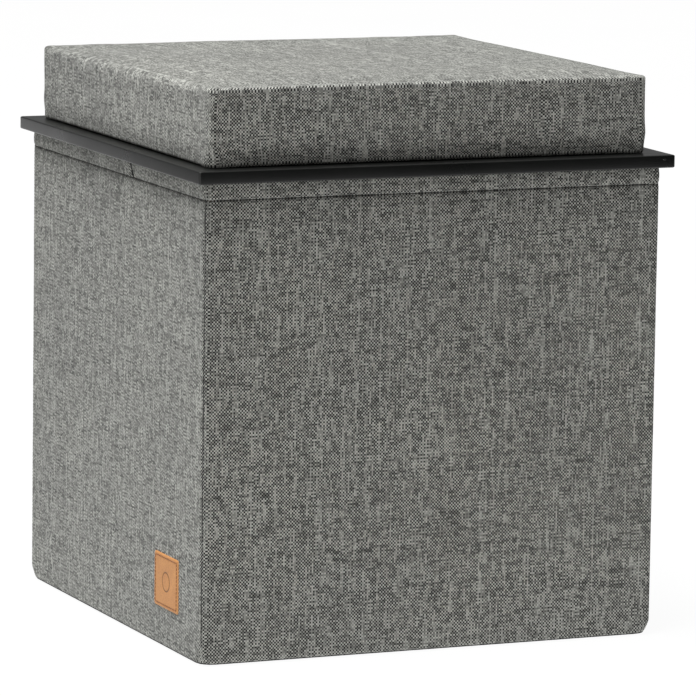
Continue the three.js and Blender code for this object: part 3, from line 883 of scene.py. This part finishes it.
def dust_cover(material):
    """The cloth across the frame's opening, under the seat board, sagging a little between its edges."""
    half = dust_high.x

    def lift(x, y):
        sag = (1 - (x / half) ** 2) * (1 - (y / half) ** 2)
        return dust_high.z - 1.6 * MM * sag * (1 + 0.4 * ripple(x, y, 0.07, 5.5))

    cloth = slab("dust_cover_cloth", np.linspace(-half, half, 61), lift, 0.5 * MM)
    clothe(cloth, material, "lid", "black_cloth", "dust_cover")


# ---------------- cushion

SEAT_MIDDLE = (seat_low + seat_high) / 2
SEAT_HALF = (seat_high.x - seat_low.x) / 2
SEAT_PLAN = 7 * MM  # radius of the cushion's upright corners
CUSHION_STATIONS = (45, 9)
BOARD_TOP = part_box("seat_board")[1].z


def seat_profile(rows):
    """The cushion's side as rows of half width and height, from its underside's edge to its top's.
    The top edge is crisp, but softer along the left side."""
    straight = rows[:, 2] == 0
    along = np.where(straight, rows[:, 1], 1.0)
    top = seat_high.z + (1.8 - 0.9 * outline(rows, 1.0, 0.0)[0][:, 1]) * MM
    left = np.maximum(-outline(rows, SEAT_HALF, SEAT_PLAN)[1][:, 0], 0)
    left = np.where(straight, left * (1 - 0.6 * np.abs(rows[:, 1]) ** 6), 0.4 * left)
    top_edge, under_edge = (2.2 + 5.4 * left ** 2) * MM, 2.4 * MM
    low = seat_low.z + 0.2 * MM + 0.3 * MM * (1 - np.abs(along) ** 5)
    grid = []
    for angle in np.radians(np.linspace(-90, 0, 5)):
        half = SEAT_HALF - under_edge * (1 - math.cos(angle))
        grid.append((np.full(len(rows), half), low + under_edge * (1 + math.sin(angle))))
    start = low + under_edge
    for t in np.linspace(0, 1, 9)[1:-1]:
        grid.append((np.full(len(rows), SEAT_HALF), start + (top - top_edge - start) * t))
    for angle in np.radians(np.linspace(0, 90, 7)):
        half = SEAT_HALF - top_edge * (1 - math.cos(angle))
        grid.append((half, top - top_edge * (1 - math.sin(angle))))
    return grid


def seat_grid(rows, edge_loop, per_side, per_corner):
    """Fills a loop of stations with a square grid of places, by blending its four sides."""
    span = per_side + per_corner
    start = 4 * span - (per_corner + 1) // 2
    loop = np.roll(edge_loop, -start, axis=0)
    ids = np.roll(np.arange(len(rows)), -start)
    bottom = [k % len(loop) for k in range(0, span + 1)]
    right = [k % len(loop) for k in range(span, 2 * span + 1)]
    top = [k % len(loop) for k in range(3 * span, 2 * span - 1, -1)]
    left = [k % len(loop) for k in range(4 * span, 3 * span - 1, -1)]
    s = np.linspace(0, 1, span + 1)
    a, b, c, d = loop[bottom], loop[top], loop[left], loop[right]
    grid = np.zeros((span + 1, span + 1, 3))
    for j, t in enumerate(s):
        for i, r in enumerate(s):
            ruled = (1 - t) * a[i] + t * b[i] + (1 - r) * c[j] + r * d[j]
            corners = (1 - r) * (1 - t) * a[0] + r * (1 - t) * a[-1] + (1 - r) * t * b[0] + r * t * b[-1]
            grid[j, i] = ruled - corners
    owner = -np.ones((span + 1, span + 1), int)
    owner[0, :], owner[-1, :] = ids[bottom], ids[top]
    owner[:, 0], owner[:, -1] = ids[left], ids[right]
    return grid, owner


def cushion_mesh(name):
    """A closed, quad-only cushion: side rows round the square, and a grid over its top and its underside."""
    per_side, per_corner = CUSHION_STATIONS
    rows = stations(per_side, per_corner, 0.2)
    levels = seat_profile(rows)
    points, faces, uvs = [], [], []
    places = len(rows)
    run = outline(rows, SEAT_HALF, SEAT_PLAN)[2]
    around = 4 * (2 * (SEAT_HALF - SEAT_PLAN) + SEAT_PLAN * math.pi / 2)
    for half, height in levels:
        for n in range(places):
            xy, _, _ = outline(rows[n:n + 1], half[n], SEAT_PLAN)
            points.append((xy[0, 0] + SEAT_MIDDLE.x, xy[0, 1] + SEAT_MIDDLE.y, height[n]))
    for k in range(len(levels) - 1):
        for n in range(places):
            n2 = (n + 1) % places
            quad = (k * places + n, k * places + n2, (k + 1) * places + n2, (k + 1) * places + n)
            faces.append(quad)
            u1, u2 = run[n], run[n2] if n2 else around
            z1, z2 = points[quad[0]][2], points[quad[3]][2]
            uvs += [(u1, z1), (u2, z1), (u2, z2), (u1, z2)]
    for level in (0, len(levels) - 1):
        loop = np.array(points[level * places:(level + 1) * places])
        grid, owner = seat_grid(rows, loop, per_side, per_corner)
        wide = grid.shape[0]
        number = np.zeros((wide, wide), int)
        for j in range(wide):
            for i in range(wide):
                if owner[j, i] >= 0:
                    number[j, i] = level * places + owner[j, i]
                else:
                    number[j, i] = len(points)
                    points.append(tuple(grid[j, i]))
        for j in range(wide - 1):
            for i in range(wide - 1):
                quad = (number[j, i], number[j, i + 1], number[j + 1, i + 1], number[j + 1, i])
                faces.append(tuple(int(v) for v in quad))
                uvs += [(points[v][0], points[v][1]) for v in quad]
    return finish_mesh(name, points, faces, uvs)


CLOTH_FRAMES = 20
CLOTH_SETTINGS = {
    "quality": 6, "mass": 0.3, "tension_stiffness": 25, "compression_stiffness": 25, "bending_stiffness": 0.6,
    "use_pressure": True, "uniform_pressure_force": 4,
}


def inflate(piece, cap):
    """Cloth simulation: the cover is blown out by the foam inside it, held at its stapled underside. No point
    moves further than the cap."""
    rest = np.array([v.co[:] for v in piece.data.vertices])
    pinned = [v.index for v in piece.data.vertices if v.co.z < BOARD_TOP]
    group = piece.vertex_groups.new(name="stapled")
    group.add(pinned, 1.0, "REPLACE")
    cloth = piece.modifiers.new("Cloth", "CLOTH")
    for key, value in CLOTH_SETTINGS.items():
        setattr(cloth.settings, key, value)
    cloth.settings.vertex_group_mass = "stapled"
    cloth.settings.effector_weights.gravity = 0
    cloth.point_cache.frame_start, cloth.point_cache.frame_end = 1, CLOTH_FRAMES
    scene = bpy.context.scene
    for number in range(1, CLOTH_FRAMES + 1):
        scene.frame_set(number)
    seen = piece.evaluated_get(bpy.context.evaluated_depsgraph_get())
    moved = np.array([v.co[:] for v in seen.data.vertices])
    piece.modifiers.remove(cloth)
    step = moved - rest
    length = np.linalg.norm(step, axis=1, keepdims=True)
    soft = cap * np.tanh(length / cap)
    placed = rest + step * (soft / np.maximum(length, 1e-9))
    piece.data.vertices.foreach_set("co", placed.ravel())
    piece.data.update()
    scene.frame_set(1)


def softly_below(value, limit, width):
    """The smaller of the two, turning smoothly from one to the other."""
    return -width * np.logaddexp(-value / width, -limit / width)


def seat_cushion(material):
    """The cushion: inflated by simulation, then eased where the cover is pulled and folded."""
    piece = cushion_mesh("seat_cushion")
    inflate(piece, 2.6 * MM)
    refine = piece.modifiers.new("Refine", "SUBSURF")
    refine.levels = refine.render_levels = 1
    refine.uv_smooth = "NONE"
    seen = piece.evaluated_get(bpy.context.evaluated_depsgraph_get())
    mesh = bpy.data.meshes.new_from_object(seen)
    piece.modifiers.remove(refine)
    piece.data = mesh
    mesh.name = piece.name

    at = np.array([v.co[:] for v in mesh.vertices])
    out = np.array([v.normal[:] for v in mesh.vertices])
    middle = np.array(SEAT_MIDDLE[:])
    local = at - middle
    upper = smoothstep((at[:, 2] - seat_low.z - 5 * MM) / (14 * MM))

    # The simulation draws the sides in, so each is set back to the cushion's width
    for axis in (0, 1):
        beside = (np.abs(local[:, 1 - axis]) < 150 * MM) & (np.abs(local[:, 2]) < 12 * MM)
        for sign in (-1, 1):
            reach = local[:, axis] * sign
            short = (SEAT_HALF + 0.2 * MM) / reach[beside & (reach > 0.9 * SEAT_HALF)].mean() - 1
            wide = softly_below(reach * (1 + short * upper), SEAT_HALF + 0.8 * MM, 0.4 * MM)
            local[:, axis] = np.where(reach > SEAT_HALF / 2, sign * wide, local[:, axis])
    at = local + middle

    # Unevenness of the sides, with pulls and folds at the corners towards the underside
    level = (at[:, 2] - seat_low.z) / (seat_high.z - seat_low.z)
    sideways = 1 - np.abs(out[:, 2])
    near_x = np.abs(local[:, 0]) / SEAT_HALF
    near_y = np.abs(local[:, 1]) / SEAT_HALF
    corner = smoothstep((np.minimum(near_x, near_y) - 0.86) / 0.12)
    broad = soft_noise(at, 75 * MM, 21, 1.2)
    lumps = soft_noise(at, 30 * MM, 22)
    pulls = soft_noise(at, 13 * MM, 23, 0.25)
    lower = 1 - smoothstep((level - 0.02) / 0.30)
    move = (0.5 * broad + 0.3 * lumps + 0.35 * pulls * lower) * MM * sideways
    move += 1.3 * MM * corner * lower * sideways
    fold_centre, fold_count = SEAT_HALF - 20 * MM, 14
    turn = np.arctan2(np.abs(local[:, 1]) - fold_centre, np.abs(local[:, 0]) - fold_centre)
    folds = np.sin((turn - math.pi / 4) * fold_count)
    move += 0.5 * MM * folds * corner * lower * sideways
    move = np.where(at[:, 2] < BOARD_TOP + 4 * MM, np.maximum(move, -0.4 * MM * sideways), move)

    # The top: soft unevenness, and a shallow dip at the back
    top = smoothstep((level - 0.9) / 0.1) * np.maximum(out[:, 2], 0)
    centre = (1 - near_x ** 4) * (1 - near_y ** 4)
    dip = bell((local[:, 0] - 30 * MM) / (60 * MM)) * bell((local[:, 1] - SEAT_HALF) / (50 * MM))
    move += top * (0.5 * broad + 0.3 * lumps - dip) * MM * (0.2 + 0.8 * centre)
    at = at + out * move[:, None]
    at[:, 2] -= 1.0 * MM * corner * lower * (level < 0.2)
    at[:, 2] = np.maximum(at[:, 2], seat_low.z + 0.1 * MM)
    mesh.vertices.foreach_set("co", at.ravel())
    mesh.update()
    clothe(piece, material, "lid", "melange_fabric", "seat_cover", "seat_foam")


# ---------------- studio

VIEW_YAW, VIEW_PITCH, VIEW_ROLL = math.radians(-23.21), math.radians(8.65), math.radians(0.821)
VIEW_DISTANCE, VIEW_ASIDE, VIEW_ABOVE = 4.508, 0.01176, 0.2081  # from the object's origin on the floor
FLOOR_GLOW, WALL_GLOW, SKY_GLOW = 0.945, 0.985, 0.25
KEY_WATTS, KEY_WIDE, KEY_FAR = 960, 4.0, 8.5
# Name, direction, distance, first and last place along it, height
SCREENS = (
    ("front_screen", Vector((0.39, -0.92, 0)), 1.5, -1.3, 1.3, 1.9),
    ("back_screen", Vector((-0.39, 0.92, 0)), 1.0, 0.15, 1.2, 0.7),
)


def camera():
    """The view: nearly level, from the front left, through a long lens."""
    level = math.cos(VIEW_PITCH)
    back = Vector((math.sin(VIEW_YAW) * level, -math.cos(VIEW_YAW) * level, math.sin(VIEW_PITCH)))
    right = Vector((math.cos(VIEW_YAW), math.sin(VIEW_YAW), 0))
    up = back.cross(right)
    across = math.cos(VIEW_ROLL) * right + math.sin(VIEW_ROLL) * up
    upward = math.cos(VIEW_ROLL) * up - math.sin(VIEW_ROLL) * right
    place = back * VIEW_DISTANCE + across * VIEW_ASIDE + upward * VIEW_ABOVE
    data = bpy.data.cameras.new("camera")
    data.lens, data.sensor_width = 287.5, 36
    data.clip_end = 100
    made = linked("camera", data)
    made.matrix_world = Matrix.Translation(place) @ Matrix((across, upward, back)).transposed().to_4x4()
    bpy.context.scene.camera = made


def staged(piece, name, greys, scale, spread=(0.0, 1.0), glow=0.0):
    """Gives a piece of the studio a matt, mottled grey that may glow. The glow is only seen, and lights
    nothing by sampling."""
    s = Shader(name, Roughness=1.0, Specular_IOR_Level=0.0, Emission_Strength=glow)
    share = s.span(s.noise(s.place(), scale), *spread)
    s.finish(Base_Color=s.blend(share, *((grey, grey, grey, 1) for grey in greys)))
    s.material.cycles.emission_sampling = "NONE"
    piece.data.materials.append(s.material)


def studio():
    """A pale floor, a white surround, two black screens and one broad soft light from nearly overhead."""
    built = bmesh.new()
    bmesh.ops.create_circle(built, cap_ends=True, segments=96, radius=40)
    floor = from_bmesh("floor", built)
    floor.location.z = -0.0004
    staged(floor, "white_paper", (0.055, 0.06), 3.0, (0.3, 0.7), FLOOR_GLOW)

    # A white wall all round, far off, that is only seen and throws no light
    built = bmesh.new()
    bmesh.ops.create_cone(built, cap_ends=False, segments=96, radius1=39, radius2=39, depth=40)
    backdrop = from_bmesh("backdrop", built)
    staged(backdrop, "white_wall", (0.04, 0.05), 0.3, glow=WALL_GLOW)
    backdrop.visible_diffuse = backdrop.visible_glossy = backdrop.visible_shadow = False

    # Black screens, unseen by the camera: one off to the front right keeps the front dark, and one
    # behind on the left darkens what the front half of the left rail mirrors
    for name, away, far, first, last, tall in SCREENS:
        along = Vector((-away.y, away.x, 0))
        corners = [away * far + along * side + Vector((0, 0, height)) for side, height in
                   ((first, 0.0), (last, 0.0), (last, tall), (first, tall))]
        mesh = bpy.data.meshes.new(name)
        mesh.from_pydata([tuple(c) for c in corners], [], [(0, 1, 2, 3)])
        screen = linked(name, mesh)
        staged(screen, "black_velvet", (0.004, 0.008), 5.0)
        screen.visible_camera = False

    world = bpy.data.worlds.new("studio")
    world.use_nodes = True
    sky = world.node_tree.nodes["Background"]
    sky.inputs["Color"].default_value = (1, 1, 1, 1)
    sky.inputs["Strength"].default_value = SKY_GLOW
    bpy.context.scene.world = world

    key = bpy.data.lights.new("key", "AREA")
    key.shape, key.size, key.size_y = "RECTANGLE", KEY_WIDE, KEY_WIDE
    key.energy = KEY_WATTS
    lamp = linked("key", key)
    towards = Vector((-0.22, -0.05, 0.97)).normalized()
    lamp.location = towards * KEY_FAR
    lamp.rotation_euler = towards.to_track_quat("Z", "Y").to_euler()
    bpy.context.scene.view_settings.view_transform = "Standard"


# ---------------- the scene

camera()
studio()

fabric = melange_fabric(linear(203, 204, 197), linear(14, 15, 13))
coat, black_cloth = powder_coat(), nonwoven()
steel, moulded = screw_steel(), black_plastic()

outer_cover(fabric)
hem_binding(fabric)
hem_stitches(thread("grey_thread", linear(64, 64, 62)))
# Dark thread for the tacks of the binding's join, also used as painted shade in the corner seams
dark_thread_and_seam_shade = thread("dark_thread_and_seam_shade", linear(20, 20, 19))
hem_join(fabric, dark_thread_and_seam_shade)
corner_seam_shade(dark_thread_and_seam_shade)
lining_pieces(lining())
bottom_cloth(black_cloth)
bottom_staples(steel)
leather_tag(leather(), thread("brown_thread", linear(150, 92, 50)))
lid_frame(coat)
paint_nib(coat)
dust_cover(black_cloth)
seat_cushion(fabric)

# CAD nodes that stay: the same solids, with finished materials and eased edges
MOULDED_EDGE, CUT_EDGE, SHARP_ANGLE = 0.5 * MM, 0.2 * MM, math.radians(40)
KEPT = {
    "wall_": panel_board(), "base_panel": panel_board(), "seat_board": plywood(), "lid_guide_": moulded,
    "corner_screw_": steel, "base_screw_": steel, "seat_screw_": steel, "guide_screw_": steel,
}
for name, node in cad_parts.items():
    for start, material in KEPT.items():
        if name.startswith(start):
            node.data.materials.clear()
            node.data.materials.append(material)
            ease = node.modifiers.new("Ease", "BEVEL")
            ease.width = MOULDED_EDGE if start == "lid_guide_" else CUT_EDGE
            ease.segments = 2
            ease.limit_method = "ANGLE"
            ease.angle_limit = SHARP_ANGLE
